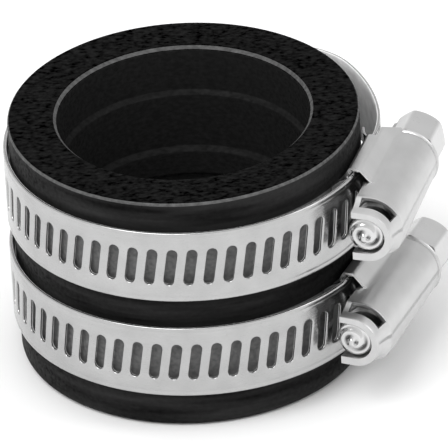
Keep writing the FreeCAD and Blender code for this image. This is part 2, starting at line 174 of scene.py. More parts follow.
def weld(obj, distance=0.002):
    """Join points that lie together, drop loose ones, and make the faces look outwards."""
    pick_only(obj)
    bpy.ops.object.mode_set(mode="EDIT")
    bpy.ops.mesh.select_all(action="SELECT")
    bpy.ops.mesh.delete_loose()
    bpy.ops.mesh.select_all(action="SELECT")
    bpy.ops.mesh.remove_doubles(threshold=distance)
    bpy.ops.mesh.normals_make_consistent(inside=False)
    bpy.ops.object.mode_set(mode="OBJECT")


def smooth(obj, degrees):
    """Shade smooth, with edges sharper than this angle kept sharp."""
    pick_only(obj)
    bpy.ops.object.shade_smooth_by_angle(angle=math.radians(degrees))


def add_bevel(obj, width, degrees=40, segments=2):
    """A small round on the sharp edges."""
    bevel = obj.modifiers.new("edge_round", "BEVEL")
    bevel.width = width * MM
    bevel.segments = segments
    bevel.limit_method = "ANGLE"
    bevel.angle_limit = math.radians(degrees)
    bevel.harden_normals = False


def settle(obj, matrix, body, node, material):
    """Put a finished piece in its place, on its body, for its CAD node."""
    obj.data.transform(matrix)
    obj.data.materials.clear()
    obj.data.materials.append(material)
    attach(obj, body)
    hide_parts(node)


def grid_faces(rows, columns, start=0, wrap_rows=False, wrap_columns=False):
    """Quads over a grid of points that is stored row by row."""
    faces = []
    for i in range(rows if wrap_rows else rows - 1):
        for j in range(columns if wrap_columns else columns - 1):
            a = start + i * columns + j
            b = start + i * columns + (j + 1) % columns
            c = start + ((i + 1) % rows) * columns + (j + 1) % columns
            d = start + ((i + 1) % rows) * columns + j
            faces.append((a, b, c, d))
    return faces


def rounded_line(corners, radii, steps=5, closed=False):
    """A polyline whose corners are replaced by arcs of the given radii."""
    corners = [np.array(c, float) for c in corners]
    count = len(corners)
    line = []
    for i, (corner, radius) in enumerate(zip(corners, radii)):
        if radius == 0 or (not closed and i in (0, count - 1)):
            line.append(corner)
            continue
        before = corners[i - 1] - corner
        after = corners[(i + 1) % count] - corner
        before /= np.linalg.norm(before)
        after /= np.linalg.norm(after)
        half = math.acos(np.clip(before @ after, -1, 1)) / 2
        reach = radius / math.tan(half)
        middle = before + after
        centre = corner + middle / np.linalg.norm(middle) * radius / math.sin(half)
        first = corner + before * reach - centre
        last = corner + after * reach - centre
        for k in range(steps + 1):
            share = k / steps
            spoke = first * (1 - share) + last * share
            line.append(centre + spoke / np.linalg.norm(spoke) * radius)
    return np.array(line)


def offset_points(line, distance):
    """A smooth polyline moved to its left."""
    line = np.asarray(line, float)
    runs = np.diff(line, axis=0)
    runs /= np.linalg.norm(runs, axis=1)[:, None]
    lefts = np.stack([-runs[:, 1], runs[:, 0]], axis=1)
    before = np.vstack([lefts[:1], lefts])
    after = np.vstack([lefts, lefts[-1:]])
    share = distance / (1 + (before * after).sum(1))
    return line + (before + after) * share[:, None]


def lathe(profile, segments, closed=False):
    """Points and faces of a (radius, height) profile turned round +Z."""
    angles = np.arange(segments) * 2 * math.pi / segments
    points = [
        (radius * math.cos(a), radius * math.sin(a), height)
        for radius, height in profile
        for a in angles
    ]
    faces = grid_faces(len(profile), segments, wrap_rows=closed, wrap_columns=True)
    return points, faces


# ---------------------------------------------------------------- materials
def new_material(name):
    """A material with one Principled shader: the material, its node tree and the shader."""
    material = bpy.data.materials.new(name)
    material.use_nodes = True
    tree = material.node_tree
    tree.nodes.clear()
    output = tree.nodes.new("ShaderNodeOutputMaterial")
    shader = tree.nodes.new("ShaderNodeBsdfPrincipled")
    tree.links.new(shader.outputs["BSDF"], output.inputs["Surface"])
    return material, tree, shader


def add_noise(tree, place, scale, detail=4.0, stretch=(1, 1, 1)):
    """A noise pattern on a place output, stretched by the three factors."""
    mapping = tree.nodes.new("ShaderNodeMapping")
    mapping.inputs["Scale"].default_value = stretch
    tree.links.new(place, mapping.inputs["Vector"])
    noise = tree.nodes.new("ShaderNodeTexNoise")
    noise.inputs["Scale"].default_value = scale
    noise.inputs["Detail"].default_value = detail
    tree.links.new(mapping.outputs["Vector"], noise.inputs["Vector"])
    return noise.outputs["Fac"]


def add_ramp(tree, factor, stops):
    """A colour ramp with (position, grey) stops."""
    ramp = tree.nodes.new("ShaderNodeValToRGB")
    while len(ramp.color_ramp.elements) < len(stops):
        ramp.color_ramp.elements.new(0.5)
    for element, (position, grey) in zip(ramp.color_ramp.elements, stops):
        element.position = position
        element.color = (grey, grey, grey, 1)
    tree.links.new(factor, ramp.inputs["Fac"])
    return ramp.outputs["Color"]


def add_bump(tree, height, strength, distance, before=None):
    """A bump node; distance is in millimetres."""
    bump = tree.nodes.new("ShaderNodeBump")
    bump.inputs["Strength"].default_value = strength
    bump.inputs["Distance"].default_value = distance * MM
    tree.links.new(height, bump.inputs["Height"])
    if before is not None:
        tree.links.new(before, bump.inputs["Normal"])
    return bump.outputs["Normal"]


def add_math(tree, operation, first, second=None):
    """A math node on one or two values, each a socket or a number."""
    node = tree.nodes.new("ShaderNodeMath")
    node.operation = operation
    for socket, value in zip(node.inputs, (first, second)):
        if isinstance(value, (int, float)):
            socket.default_value = value
        elif value is not None:
            tree.links.new(value, socket)
    return node.outputs["Value"]


def add_mix(tree, factor, first, second):
    """A mix of two colours."""
    mix = tree.nodes.new("ShaderNodeMix")
    mix.data_type = "RGBA"
    colours = [socket for socket in mix.inputs if socket.type == "RGBA"]
    tree.links.new(factor, mix.inputs["Factor"])
    tree.links.new(first, colours[0])
    tree.links.new(second, colours[1])
    return [socket for socket in mix.outputs if socket.type == "RGBA"][0]


# where the rubber's colour zones change, in millimetres; the side, the bore, the seats and the top
# edges carry painted light
SKIN_DEPTH = 0.6
FACE_DEPTH = 0.3
EDGE_DEPTH = 0.55
RIM_REACH = 0.1
BORE_REACH = 0.05
LIP_WIDTH = 0.22
SEAT_HALF_HEIGHT = 5.2


def rubber_zones(tree, place):
    """Masks over the sleeve for painted light and shade: the outer side, the bore, the bands'
    seats and the two top edges.
    """
    split = tree.nodes.new("ShaderNodeSeparateXYZ")
    tree.links.new(place, split.inputs["Vector"])
    height = split.outputs["Z"]
    across = add_math(tree, "POWER", split.outputs["X"], 2.0)
    deep = add_math(tree, "POWER", split.outputs["Y"], 2.0)
    from_axis = add_math(tree, "SQRT", add_math(tree, "ADD", across, deep))

    outside = add_math(tree, "GREATER_THAN", from_axis, (SLEEVE_RADIUS - SKIN_DEPTH) * MM)
    side = add_math(tree, "LESS_THAN", height, (SLEEVE_HEIGHT - FACE_DEPTH) * MM)
    in_bore = add_math(tree, "LESS_THAN", from_axis, (BORE["mouth"] + BORE_REACH) * MM)
    seats = []
    for clamp in ("upper", "lower"):
        middle = joint_place(f"{clamp}_clamp_turn")[2]
        away = add_math(tree, "ABSOLUTE", add_math(tree, "SUBTRACT", height, middle))
        seats.append(add_math(tree, "LESS_THAN", away, SEAT_HALF_HEIGHT * MM))
    # the top face's rounded outer edge and the bore's rim carry painted highlight lines
    near_top = add_math(tree, "GREATER_THAN", height, (SLEEVE_HEIGHT - EDGE_DEPTH) * MM)
    on_rim = add_math(tree, "LESS_THAN", from_axis, (BORE["rim"] - RIM_REACH) * MM)
    on_lip = add_math(tree, "GREATER_THAN", from_axis, (SLEEVE_RADIUS - LIP_WIDTH) * MM)
    return {
        "skin": add_math(tree, "MULTIPLY", side, outside),
        "bore": add_math(tree, "MULTIPLY", side, in_bore),
        "seats": add_math(tree, "MULTIPLY", add_math(tree, "MAXIMUM", *seats), outside),
        "edges": add_math(tree, "MULTIPLY", near_top, add_math(tree, "MAXIMUM", on_rim, on_lip)),
    }


def rubber_material():
    """Matt moulded rubber: a mottled face, a streaked side painted lighter as a painted
    reflection, a bore painted lighter as painted light, pale grey seats painted to show through
    the slots' shade, and painted highlight lines on the top edges.
    """
    material, tree, shader = new_material("black_rubber")
    place = tree.nodes.new("ShaderNodeTexCoord").outputs["Object"]
    zones = rubber_zones(tree, place)

    mottle = add_noise(tree, place, 1700, 6, (0.6, 1, 1))
    side_sheen_streaks = add_noise(tree, place, 260, 3, (0.15, 0.15, 1.6))
    seat_light_noise = add_noise(tree, place, 1500, 4)
    colour = add_ramp(tree, mottle, [(0.32, 0.0), (0.75, 0.006)])
    finishes = [
        # the bore: painted a little lighter than the face, as painted light to make up for the
        # shade inside it
        ("bore", mottle, [(0.35, 0.012), (0.7, 0.018)]),
        # the outer side: painted lighter than the face, with soft streaks, as a painted reflection
        # of the floor
        ("skin", side_sheen_streaks, [(0.35, 0.005), (0.7, 0.026)]),
        # the seats under the bands: painted pale grey, as painted light, bright enough to show
        # through the slots' shade
        ("seats", seat_light_noise, [(0.3, 0.12), (0.75, 0.22)]),
        # the two top edges: pale painted highlight lines
        ("edges", mottle, [(0.35, 0.07), (0.7, 0.12)]),
    ]
    for zone, pattern, stops in finishes:
        colour = add_mix(tree, zones[zone], colour, add_ramp(tree, pattern, stops))
    tree.links.new(colour, shader.inputs["Base Color"])

    bloom = add_noise(tree, place, 180, 4)
    rough = add_ramp(tree, bloom, [(0.3, 0.40), (0.75, 0.54)])
    tree.links.new(rough, shader.inputs["Roughness"])
    sheen = add_ramp(tree, mottle, [(0.34, 0.0), (0.75, 0.05)])
    tree.links.new(sheen, shader.inputs["Specular IOR Level"])
    grain = add_noise(tree, place, 2600, 3)
    normal = add_bump(tree, grain, 0.35, 0.05)
    waves = add_noise(tree, place, 110, 2)
    normal = add_bump(tree, waves, 0.25, 0.25, normal)
    tree.links.new(normal, shader.inputs["Normal"])
    return material


# a strip's grain holds the depth in it, which is below this on the inner face
INNER_FACE_DEPTH = -0.1
# extra roughness on a strip's inner face, which is also painted pale as painted light
INNER_FACE_ROUGHNESS = 0.4
TIP_POLISH = 0.18


def add_painted_inner_light(tree, place, depth, colour, roughness):
    """A strip's inner face painted pale and non-metallic, as painted light in place of the bright
    reflection it shows, and made rougher: its mask, and the new colour and roughness.
    """
    inside = add_math(tree, "LESS_THAN", depth, INNER_FACE_DEPTH)
    duller = add_math(tree, "MULTIPLY", inside, INNER_FACE_ROUGHNESS)
    painted_pale = add_ramp(tree, add_noise(tree, place, 0.5, 4), [(0.3, 0.75), (0.7, 0.95)])
    return (
        inside,
        add_mix(tree, inside, colour, painted_pale),
        add_math(tree, "ADD", roughness, duller),
    )


def add_painted_thread_shade(tree, place, along_screw, colour, roughness):
    """Painted shade on a worm's thread inside the housing, painted shade in its tip's spiral
    groove, and a polished tip.
    """
    start, end = SHADED_THREAD_SPAN
    after = add_math(tree, "GREATER_THAN", along_screw, start)
    before = add_math(tree, "LESS_THAN", along_screw, end)
    blotches = add_noise(tree, place, 2.0, 4)
    thread_shade_colour = add_ramp(tree, blotches, [(0.3, 0.16), (0.7, 0.45)])
    groove_shade_colour = add_ramp(tree, blotches, [(0.3, 0.03), (0.7, 0.12)])
    # painted shade: the thread inside the housing is painted dark
    colour = add_mix(tree, add_math(tree, "MULTIPLY", after, before), colour, thread_shade_colour)
    groove_shade = tree.nodes.new("ShaderNodeAttribute")
    groove_shade.attribute_name = "groove_shade"
    # painted shade in the tip's spiral groove
    colour = add_mix(tree, groove_shade.outputs["Fac"], colour, groove_shade_colour)
    on_tip = add_math(tree, "LESS_THAN", along_screw, start)
    smoother = add_math(tree, "MULTIPLY", on_tip, TIP_POLISH)
    return colour, add_math(tree, "SUBTRACT", roughness, smoother)


def steel_material(name, grey, rough, line_stretch, line_strength, paint_inner_face=False, shade_thread=False):
    """Rolled stainless sheet: fine lines along the strip, faint stains and light dents.

    The first switch paints a strip's inner face pale and non-metallic, as painted light; the
    second paints shade on a worm's thread inside the housing and in its tip's groove.
    """
    material, tree, shader = new_material(name)
    grain = tree.nodes.new("ShaderNodeAttribute")
    grain.attribute_name = "grain"
    place = grain.outputs["Vector"]
    split = tree.nodes.new("ShaderNodeSeparateXYZ")
    tree.links.new(place, split.inputs["Vector"])
    lines = add_noise(tree, place, 3.0, 5, line_stretch)
    stains = add_noise(tree, place, 0.22, 4)
    colour = add_ramp(tree, stains, [(0.3, grey - 0.03), (0.7, grey + 0.03)])
    roughness = add_ramp(tree, lines, [(0.3, rough - 0.05), (0.75, rough + 0.08)])
    shader.inputs["Metallic"].default_value = 1.0
    # painted light: the strip's inner face is painted pale and non-metallic
    if paint_inner_face:
        inside, colour, roughness = add_painted_inner_light(
            tree, place, split.outputs["Z"], colour, roughness
        )
        bare = add_math(tree, "SUBTRACT", 1.0, inside)
        tree.links.new(bare, shader.inputs["Metallic"])
    if shade_thread:
        colour, roughness = add_painted_thread_shade(tree, place, split.outputs["X"], colour, roughness)
    tree.links.new(colour, shader.inputs["Base Color"])
    tree.links.new(roughness, shader.inputs["Roughness"])
    normal = add_bump(tree, lines, line_strength, 0.02)
    dents = add_noise(tree, place, 0.35, 2)
    normal = add_bump(tree, dents, 0.25, 0.12, normal)
    tree.links.new(normal, shader.inputs["Normal"])
    return material


# the stretch of the worm inside the housing, painted dark as painted shade
SHADED_THREAD_SPAN = (-12.6, 8.0)
RUBBER = rubber_material()
BAND_STEEL = steel_material("band_steel", 0.45, 0.23, (0.15, 6, 1), 0.14, paint_inner_face=True)
HOUSING_STEEL = steel_material("housing_steel", 0.57, 0.36, (0.12, 4, 1), 0.08)
SCREW_STEEL = steel_material("screw_steel", 0.62, 0.32, (3, 0.6, 0.3), 0.06, shade_thread=True)


# ---------------------------------------------------------------- sleeve
def make_sleeve():
    """The rubber sleeve as one turned section with rounded edges."""
    height = SLEEVE_HEIGHT
    middle = height / 2
    rim, mouth, socket, stop = (BORE[k] for k in ("rim", "mouth", "socket", "stop"))
    upper_bore = [
        (rim, height, 0.25),
        (mouth, height - (rim - mouth), 0.3),
        (mouth, height - MOUTH_DEPTH, 0.3),
        (socket, height - MOUTH_DEPTH - (mouth - socket), 0.3),
        (socket, middle + STOP_HALF + (socket - stop), 0.3),
        (stop, middle + STOP_HALF, 0.4),
    ]
    lower_bore = [(r, height - z, fillet) for r, z, fillet in reversed(upper_bore)]
    outside = [(SLEEVE_RADIUS, 0.0, 1.5), (SLEEVE_RADIUS, height, 0.5)]
    section = outside + upper_bore + lower_bore
    profile = rounded_line([(r, z) for r, z, _ in section], [f for _, _, f in section], 8, True)
    points, faces = lathe(profile, SLEEVE_SEGMENTS, closed=True)
    sleeve = make_mesh("sleeve", points, faces)
    weld(sleeve)
    smooth(sleeve, 60)
    settle(sleeve, Matrix.Scale(MM, 4), "sleeve", "rubber_sleeve", RUBBER)


# ---------------------------------------------------------------- strips
def outward(angle):
    """Across a strip whose line runs along +Y turned by angle."""
    return np.array([math.cos(angle), math.sin(angle)])


def along(angle):
    """The way that a strip's line runs."""
    return np.array([-math.sin(angle), math.cos(angle)])


class Path:
    """A line of straight runs and bends, found by distance along it."""

    def __init__(self, start, angle, moves):
        self.pieces = []
        self.length = 0.0
        point = np.array(start, float)
        for amount, radius in moves:
            run = amount if radius is None else abs(radius) * amount
            self.pieces.append((self.length, point, angle, radius))
            self.length += run
            point, angle = self.step(point, angle, radius, run)
        self.end = point

    @staticmethod
    def step(point, angle, radius, run):
        """The point and heading after a run along one piece."""
        if radius is None:
            return point + along(angle) * run, angle
        turned = angle + run / radius
        return point - outward(angle) * radius + outward(turned) * radius, turned

    def at(self, distance):
        """The point and heading at a distance from the start."""
        place = self.pieces[0]
        for piece in self.pieces:
            if piece[0] <= distance:
                place = piece
        begin, point, angle, radius = place
        return self.step(point, angle, radius, distance - begin)

    def place(self, distance, z, depth):
        """A point of a strip: along its line, up its width, and out from its middle."""
        point, angle = self.at(distance)
        x, y = point + outward(angle) * depth
        return (x, y, z)


def band_path():
    """The band's line: fixed end, exit, bulge, ring, and the free end over the fixed one."""
    first = np.array([FIXED_LEVEL - EXIT_RADIUS, EXIT_START])
    second = first + outward(EXIT_TURN) * (EXIT_RADIUS - SWEEP_RADIUS)
    turned = EXIT_TURN + SWEEP_TURN
    bulge = second + outward(turned) * (SWEEP_RADIUS - BULGE_RADIUS)
    apart = bulge - np.array([RING_OFFSET, 0])
    reach = np.linalg.norm(apart)
    meeting = math.atan2(apart[1], apart[0]) + math.acos((RING_RADIUS - BULGE_RADIUS) / reach)
    last_run = -apart @ along(meeting)
    moves = [
        (FIXED_END_REACH + EXIT_START, None),
        (EXIT_TURN, EXIT_RADIUS),
        (SWEEP_TURN, SWEEP_RADIUS),
        (meeting - turned, BULGE_RADIUS),
        (last_run, None),
        (2 * math.pi - meeting, RING_RADIUS),
        (math.asin(TAIL_REACH / TAIL_RADIUS), TAIL_RADIUS),
    ]
    path = Path((FIXED_LEVEL, -FIXED_END_REACH), 0.0, moves)
    middle = path.pieces[-1][0]
    return path, middle


# how far a face of the strip is from its middle
HALF = BAND_THICKNESS / 2
PLAIN_CELL = 2.0
CELL_HALF_HEIGHT = 4.3
SIDE_STEPS = 12
TOP_STEPS = 6
# (distance from the band's middle line, height of the face) across the strip's edge
EDGE_ROWS = [
    (CELL_HALF_HEIGHT, HALF),
    (5.0, HALF),
    (5.5, HALF),
    (5.58, HALF - 0.035),
    (5.68, HALF - 0.035),
    (5.76, HALF),
    (6.12, HALF - 0.01),
    (6.26, HALF - 0.06),
    (6.33, HALF - 0.16),
    (BAND_WIDTH / 2, 0.0),
    (6.33, 0.16 - HALF),
    (6.26, 0.06 - HALF),
    (6.12, -HALF),
    (5.0, -HALF),
    (CELL_HALF_HEIGHT, -HALF),
]
# (how far outside the slot's outline, height) from the outer face to the inner one
SLOT_ROWS = [
    (0.30, HALF),
    (0.14, HALF - 0.015),
    (0.04, HALF - 0.07),
    (0.0, HALF - 0.16),
    (0.0, 0.16 - HALF),
    (0.04, 0.07 - HALF),
    (0.14, -HALF),
    (0.30, -HALF),
]


def cell_border(half_length):
    """The points round a cell, from its lower right corner, up and round."""
    side = np.linspace(-CELL_HALF_HEIGHT, CELL_HALF_HEIGHT, SIDE_STEPS + 1)
    top = np.linspace(half_length, -half_length, TOP_STEPS + 1)
    border = [(half_length, z) for z in side[:-1]]
    border += [(u, CELL_HALF_HEIGHT) for u in top[:-1]]
    border += [(-half_length, z) for z in side[::-1][:-1]]
    border += [(u, -CELL_HALF_HEIGHT) for u in top[::-1][:-1]]
    return border


def slot_outline(expand):
    """The leaning slot's outline, with one point for each point of the cell's border."""
    radius = SLOT_WIDTH / 2 + expand
    straight = (SLOT_LENGTH - SLOT_WIDTH) / 2
    side_arc = 2
    levels = np.linspace(-straight, straight, SIDE_STEPS - 2 * side_arc + 1)
    quarter = math.radians(45) / side_arc
    right = [(-quarter * (side_arc - k), -straight) for k in range(side_arc)]
    right += [(0.0, z) for z in levels]
    right += [(quarter * (k + 1), straight) for k in range(side_arc)]
    top = [(math.radians(45 + 90 * k / TOP_STEPS), straight) for k in range(TOP_STEPS)]
    outline = []
    for turn, sign in ((0, 1), (math.pi, -1)):
        for angle, z in right[:-1] + top:
            u = radius * math.cos(angle + turn)
            outline.append((u, sign * z + radius * math.sin(angle + turn)))
    cos, sin = math.cos(SLOT_LEAN), math.sin(SLOT_LEAN)
    return [(u * cos + z * sin, z * cos - u * sin) for u, z in outline]


class Strip:
    """Gathers the points and faces of a strip that follows a path."""

    def __init__(self, path):
        self.path = path
        self.points = []
        self.grain = []
        self.faces = []

    def add_grid(self, rows, wrap=False):
        """A grid of (distance, z, depth) points."""
        start = len(self.points)
        for row in rows:
            for distance, z, depth in row:
                self.points.append(self.path.place(distance, z, depth))
                self.grain.append((distance, z, depth))
        self.faces += grid_faces(len(rows), len(rows[0]), start, wrap_columns=wrap)

    def add_cell(self, centre, length, slotted):
        """One pitch of the band, with its slot or without."""
        stations = centre + np.linspace(-length / 2, length / 2, TOP_STEPS + 1)
        for side in (1, -1):
            self.add_grid([[(s, side * z, depth) for s in stations] for z, depth in EDGE_ROWS])
        if slotted:
            border = cell_border(length / 2)
            rings = [[(centre + u, z, HALF) for u, z in border]]
            wide = slot_outline(SLOT_ROWS[0][0])
            halfway = [((a + c) / 2, (b + d) / 2) for (a, b), (c, d) in zip(border, wide)]
            rings.append([(centre + u, z, HALF) for u, z in halfway])
            for expand, depth in SLOT_ROWS:
                rings.append([(centre + u, z, depth) for u, z in slot_outline(expand)])
            rings.append([(centre + u, z, -HALF) for u, z in halfway])
            rings.append([(centre + u, z, -HALF) for u, z in border])
            self.add_grid(rings, wrap=True)
        else:
            levels = np.linspace(-CELL_HALF_HEIGHT, CELL_HALF_HEIGHT, SIDE_STEPS + 1)
            for depth in (HALF, -HALF):
                self.add_grid([[(s, z, depth) for s in stations] for z in levels])

    def add_end(self, distance):
        """The closed face at one end of the strip."""
        levels = np.linspace(-CELL_HALF_HEIGHT, CELL_HALF_HEIGHT, SIDE_STEPS + 1)
        loop = [(z, HALF) for z in levels[:-1]]
        loop += EDGE_ROWS[:-1]
        loop += [(z, -HALF) for z in levels[::-1][:-1]]
        loop += [(-z, depth) for z, depth in EDGE_ROWS[::-1][:-1]]
        start = len(self.points)
        for z, depth in loop:
            self.points.append(self.path.place(distance, z, depth))
            self.grain.append((distance, z, depth))
        self.faces.append(tuple(range(start, start + len(loop))))


def make_band(clamp):
    """The perforated strip, built pitch by pitch along its path."""
    path, middle = band_path()
    strip = Strip(path)
    ring_slots = int((2 * math.pi - PLAIN_STRETCH) * RING_RADIUS / SLOT_PITCH)
    tail_slots = int((TAIL_REACH - SLOT_WIDTH / 2) / SLOT_PITCH)
    for k in range(-ring_slots, tail_slots + 1):
        strip.add_cell(middle + k * SLOT_PITCH, SLOT_PITCH, True)
    first_slot = middle - (ring_slots + 0.5) * SLOT_PITCH
    cells = round(first_slot / PLAIN_CELL)
    length = first_slot / cells
    for k in range(cells):
        strip.add_cell((k + 0.5) * length, length, False)
    last_slot = middle + (tail_slots + 0.5) * SLOT_PITCH
    strip.add_cell((last_slot + path.length) / 2, path.length - last_slot, False)
    strip.add_end(0.0)
    strip.add_end(path.length)
    band = make_mesh(f"{clamp}_strip", strip.points, strip.faces, strip.grain)
    weld(band)
    smooth(band, 50)
    settle(band, clamp_matrix(clamp), f"{clamp}_clamp", f"{clamp}_band", BAND_STEEL)


# ---------------------------------------------------------------- sheets
def sheet_solid(name, faces, outer, inner, grain):
    """A solid sheet between two sets of points that share the same faces."""
    count = len(outer)
    points = list(outer) + list(inner)
    solid = [tuple(f) for f in faces] + [tuple(count + i for i in reversed(f)) for f in faces]
    seen = {}
    for face in faces:
        for a, b in zip(face, face[1:] + face[:1]):
            seen[(a, b)] = True
    for a, b in seen:
        if (b, a) not in seen:
            solid.append((b, a, count + a, count + b))
    return make_mesh(name, points, solid, list(grain) + list(grain))


def strip_sheet(name, path, width, thickness, step=0.35):
    """A plain strip of sheet along a path."""
    stations = np.linspace(0, path.length, max(4, int(path.length / step)))
    levels = (-width / 2, 0.0, width / 2)
    outer = [path.place(s, z, thickness / 2) for s in stations for z in levels]
    inner = [path.place(s, z, -thickness / 2) for s in stations for z in levels]
    grain = [(s, z, 0) for s in stations for z in levels]
    return sheet_solid(name, grid_faces(len(stations), 3), outer, inner, grain)


def section_sheet(name, line, thickness, start, stop):
    """A sheet with a constant section: line of (x, z) points, from y start to y stop."""
    inner_line = offset_points(line, thickness)
    places = np.concatenate([[0], np.cumsum(np.linalg.norm(np.diff(line, axis=0), axis=1))])
    levels = np.linspace(start, stop, 5)
    outer = [(x, y, z) for y in levels for x, z in line]
    inner = [(x, y, z) for y in levels for x, z in inner_line]
    grain = [(y, v, 0) for y in levels for v in places]
    return sheet_solid(name, grid_faces(len(levels), len(line)), outer, inner, grain)


def join(objects, name):
    """One object from several."""
    with bpy.context.temp_override(
        active_object=objects[0], selected_editable_objects=objects, selected_objects=objects
    ):
        bpy.ops.object.join()
    objects[0].name = name
    return objects[0]


def make_saddle(clamp):
    """The plate under the band: a tray inside the legs, and a tongue at each end."""
    corners = LEG_CORNERS[:4] + [(LEG_CORNERS[4][0], 0.0)]
    leg = rounded_line(corners, [0, 0.7, 0.5, 0.5, 0])
    half = offset_points(leg, LEG_SHEET + SADDLE_GAP)
    half = half[half[:, 0] < TRAY_TOP]
    section = np.vstack([half, (half * [1, -1])[::-1][1:]])
    front, back = LEG_FRONT + TRAY_CLEARANCE, LEG_BACK - TRAY_CLEARANCE
    tray = section_sheet("tray", section, SADDLE_SHEET, front, back)

    tongue = [
        (TONGUE_TIP, None),
        (TONGUE_LIFT, -TONGUE_BEND),
        (TONGUE_NECK, None),
        (TONGUE_DROP, TONGUE_BEND),
    ]
    heading = TONGUE_LIFT - TONGUE_DROP
    seat = LEG_CORNERS[-1][0] + LEG_SHEET + SADDLE_GAP + SADDLE_SHEET / 2
    start = np.array([seat, PLATE_FRONT]) - Path((0, 0), heading, tongue).end
    path = Path(start, heading, tongue + [(PLATE_LENGTH, None)] + tongue[::-1])
    plate = strip_sheet("plate", path, PLATE_WIDTH, SADDLE_SHEET)
    saddle = join([tray, plate], f"{clamp}_under_plate")
    smooth(saddle, 40)
    settle(
        saddle, clamp_matrix(clamp), f"{clamp}_clamp", f"{clamp}_saddle", BAND_STEEL
    )
    add_bevel(saddle, 0.08)


# ---------------------------------------------------------------- housing
ARC_STEPS = 18
ARCH_FOOT = SCREW_OFFSET - 0.45
REAR_BEAD = CROWN_BACK - 0.75
ROW_GRAIN = 0.45
SIDE_GRAIN_START = 9
SIDE_GRAIN = 0.3
LEG_BENDS = [1.2, 1.1, 0.6, 0.5, 0]
WALL_LEVELS = [32.6, 32.2, SCREW_OFFSET - WALL_DROP]
WEB_END_SHARE = 0.15
WINDOW_FIRST_ROW = {1: 6, -1: 9}
LOWER_STEP_FILL = 0.35
SHOULDER_PLACES = [COLLAR_FRONT, CROWN_FRONT + 2, CROWN_BACK]
SHOULDER_SWELL = [0.0, 0.8, 0.2]
# the crown's outer radius along the screw, from the collar's front lip to the rear bead
CROWN_PROFILE = [
    (COLLAR_FRONT, COLLAR_RADIUS - 0.1),
    (COLLAR_FRONT + 0.25, COLLAR_RADIUS),
    (COLLAR_BACK - 0.4, COLLAR_RADIUS + 0.02),
    (COLLAR_BACK, COLLAR_RADIUS + 0.1),
    (CROWN_FRONT - 0.7, CROWN_RADIUS - 0.35),
    (CROWN_FRONT - 0.25, CROWN_RADIUS - 0.06),
    (CROWN_FRONT, CROWN_RADIUS + 0.04),
    (CROWN_FRONT + 0.25, CROWN_RADIUS + 0.12),
    (CROWN_FRONT + 0.6, CROWN_RADIUS + 0.03),
    (CROWN_FRONT + 0.9, CROWN_RADIUS),
    (REAR_BEAD, CROWN_RADIUS),
    (CROWN_BACK - 0.6, CROWN_RADIUS - 0.1),
    (CROWN_BACK - 0.4, CROWN_RADIUS + 0.12),
    (CROWN_BACK - 0.15, CROWN_RADIUS + 0.18),
    (CROWN_BACK, CROWN_RADIUS + 0.04),
]


def crown_radius(y):
    """The crown's outer radius at y."""
    return float(np.interp(y, *zip(*CROWN_PROFILE)))


def arch_rows(y, side):
    """Half of the crown's section at y, from its top to the level where a leg leaves it.

    The lower half is fuller than the upper one: it steps in less at the collar, and its
    shoulder swells a little towards the tip.
    """
    radius = crown_radius(y)
    step = max(0.0, CROWN_RADIUS - radius)
    swell = np.interp(y, SHOULDER_PLACES, SHOULDER_SWELL)
    rows = []
    for k in range(ARC_STEPS + 1):
        angle = math.radians(90) * k / ARC_STEPS
        full = radius
        if side < 0:
            full += LOWER_STEP_FILL * step * math.sin(angle)
            full += swell * math.sin(2 * angle) ** 2
        rows.append((SCREW_OFFSET + full * math.cos(angle), full * math.sin(angle)))
    return rows + [(ARCH_FOOT, rows[-1][1])]


def housing_stations():
    """The places along the screw where the housing's section is drawn."""
    stations = [y for y, _ in CROWN_PROFILE]
    stations += list(np.linspace(CROWN_FRONT, LEG_FRONT, 4))
    stations += list(np.linspace(LEG_FRONT, LEG_BACK, 9))
    stations += list(np.linspace(LEG_BACK, WEB_BACK, 4))
    stations += list(np.linspace(WEB_BACK, REAR_BEAD, 6))
    return sorted({round(float(y), 4) for y in stations})


class Sheet:
    """Gathers the outside and inside of a sheet that is mirrored on the clamp's middle."""

    def __init__(self):
        self.outer, self.inner, self.grain, self.faces = [], [], [], []
        self.side = 1

    def add(self, y, row, place, normal, thickness):
        """One point of the outside with its partner on the inside."""
        x, z = place
        self.outer.append((x, y, self.side * z))
        inside = (x - normal[0] * thickness, y, self.side * (z - normal[1] * thickness))
        self.inner.append(inside)
        self.grain.append((y, self.side * row, 0))
        return len(self.outer) - 1

    def add_line(self, first, y, places, normals, thickness):
        """A column of points that goes on from the arch's foot."""
        row = SIDE_GRAIN_START
        column = [first]
        for step, (place, normal) in enumerate(zip(places, normals)):
            column.append(self.add(y, row + SIDE_GRAIN * step, place, normal, thickness))
        return column

    def join(self, here, there, skip=()):
        """Faces between two columns, apart from the rows to skip."""
        for row in range(min(len(here), len(there)) - 1):
            if row not in skip:
                face = (here[row], here[row + 1], there[row + 1], there[row])
                self.faces.append(face if self.side < 0 else face[::-1])


def leg_line():
    """A leg's section from the arch's foot inwards, its normals, and how many rows a web has."""
    root = np.array([ARCH_FOOT, CROWN_RADIUS])
    # the line starts a little beyond the root and is then cut back to it
    leg = rounded_line([tuple(root + [0.6, 0])] + LEG_CORNERS, [0] + LEG_BENDS, 6)
    leg = np.vstack([root, leg[leg[:, 0] < root[0] - 0.1]])
    normals = (leg - offset_points(leg, LEG_SHEET)) / LEG_SHEET
    web_rows = int(np.argmax(leg[:, 1] > LEG_CORNERS[1][1] - 0.02))
    return leg, normals, web_rows


def sheet_thickness(y, place):
    """The crown's thickness at a point: the collar is thicker, with a round bore."""
    if y > COLLAR_BACK:
        return CROWN_SHEET
    return math.hypot(place[0] - SCREW_OFFSET, place[1]) - COLLAR_BORE


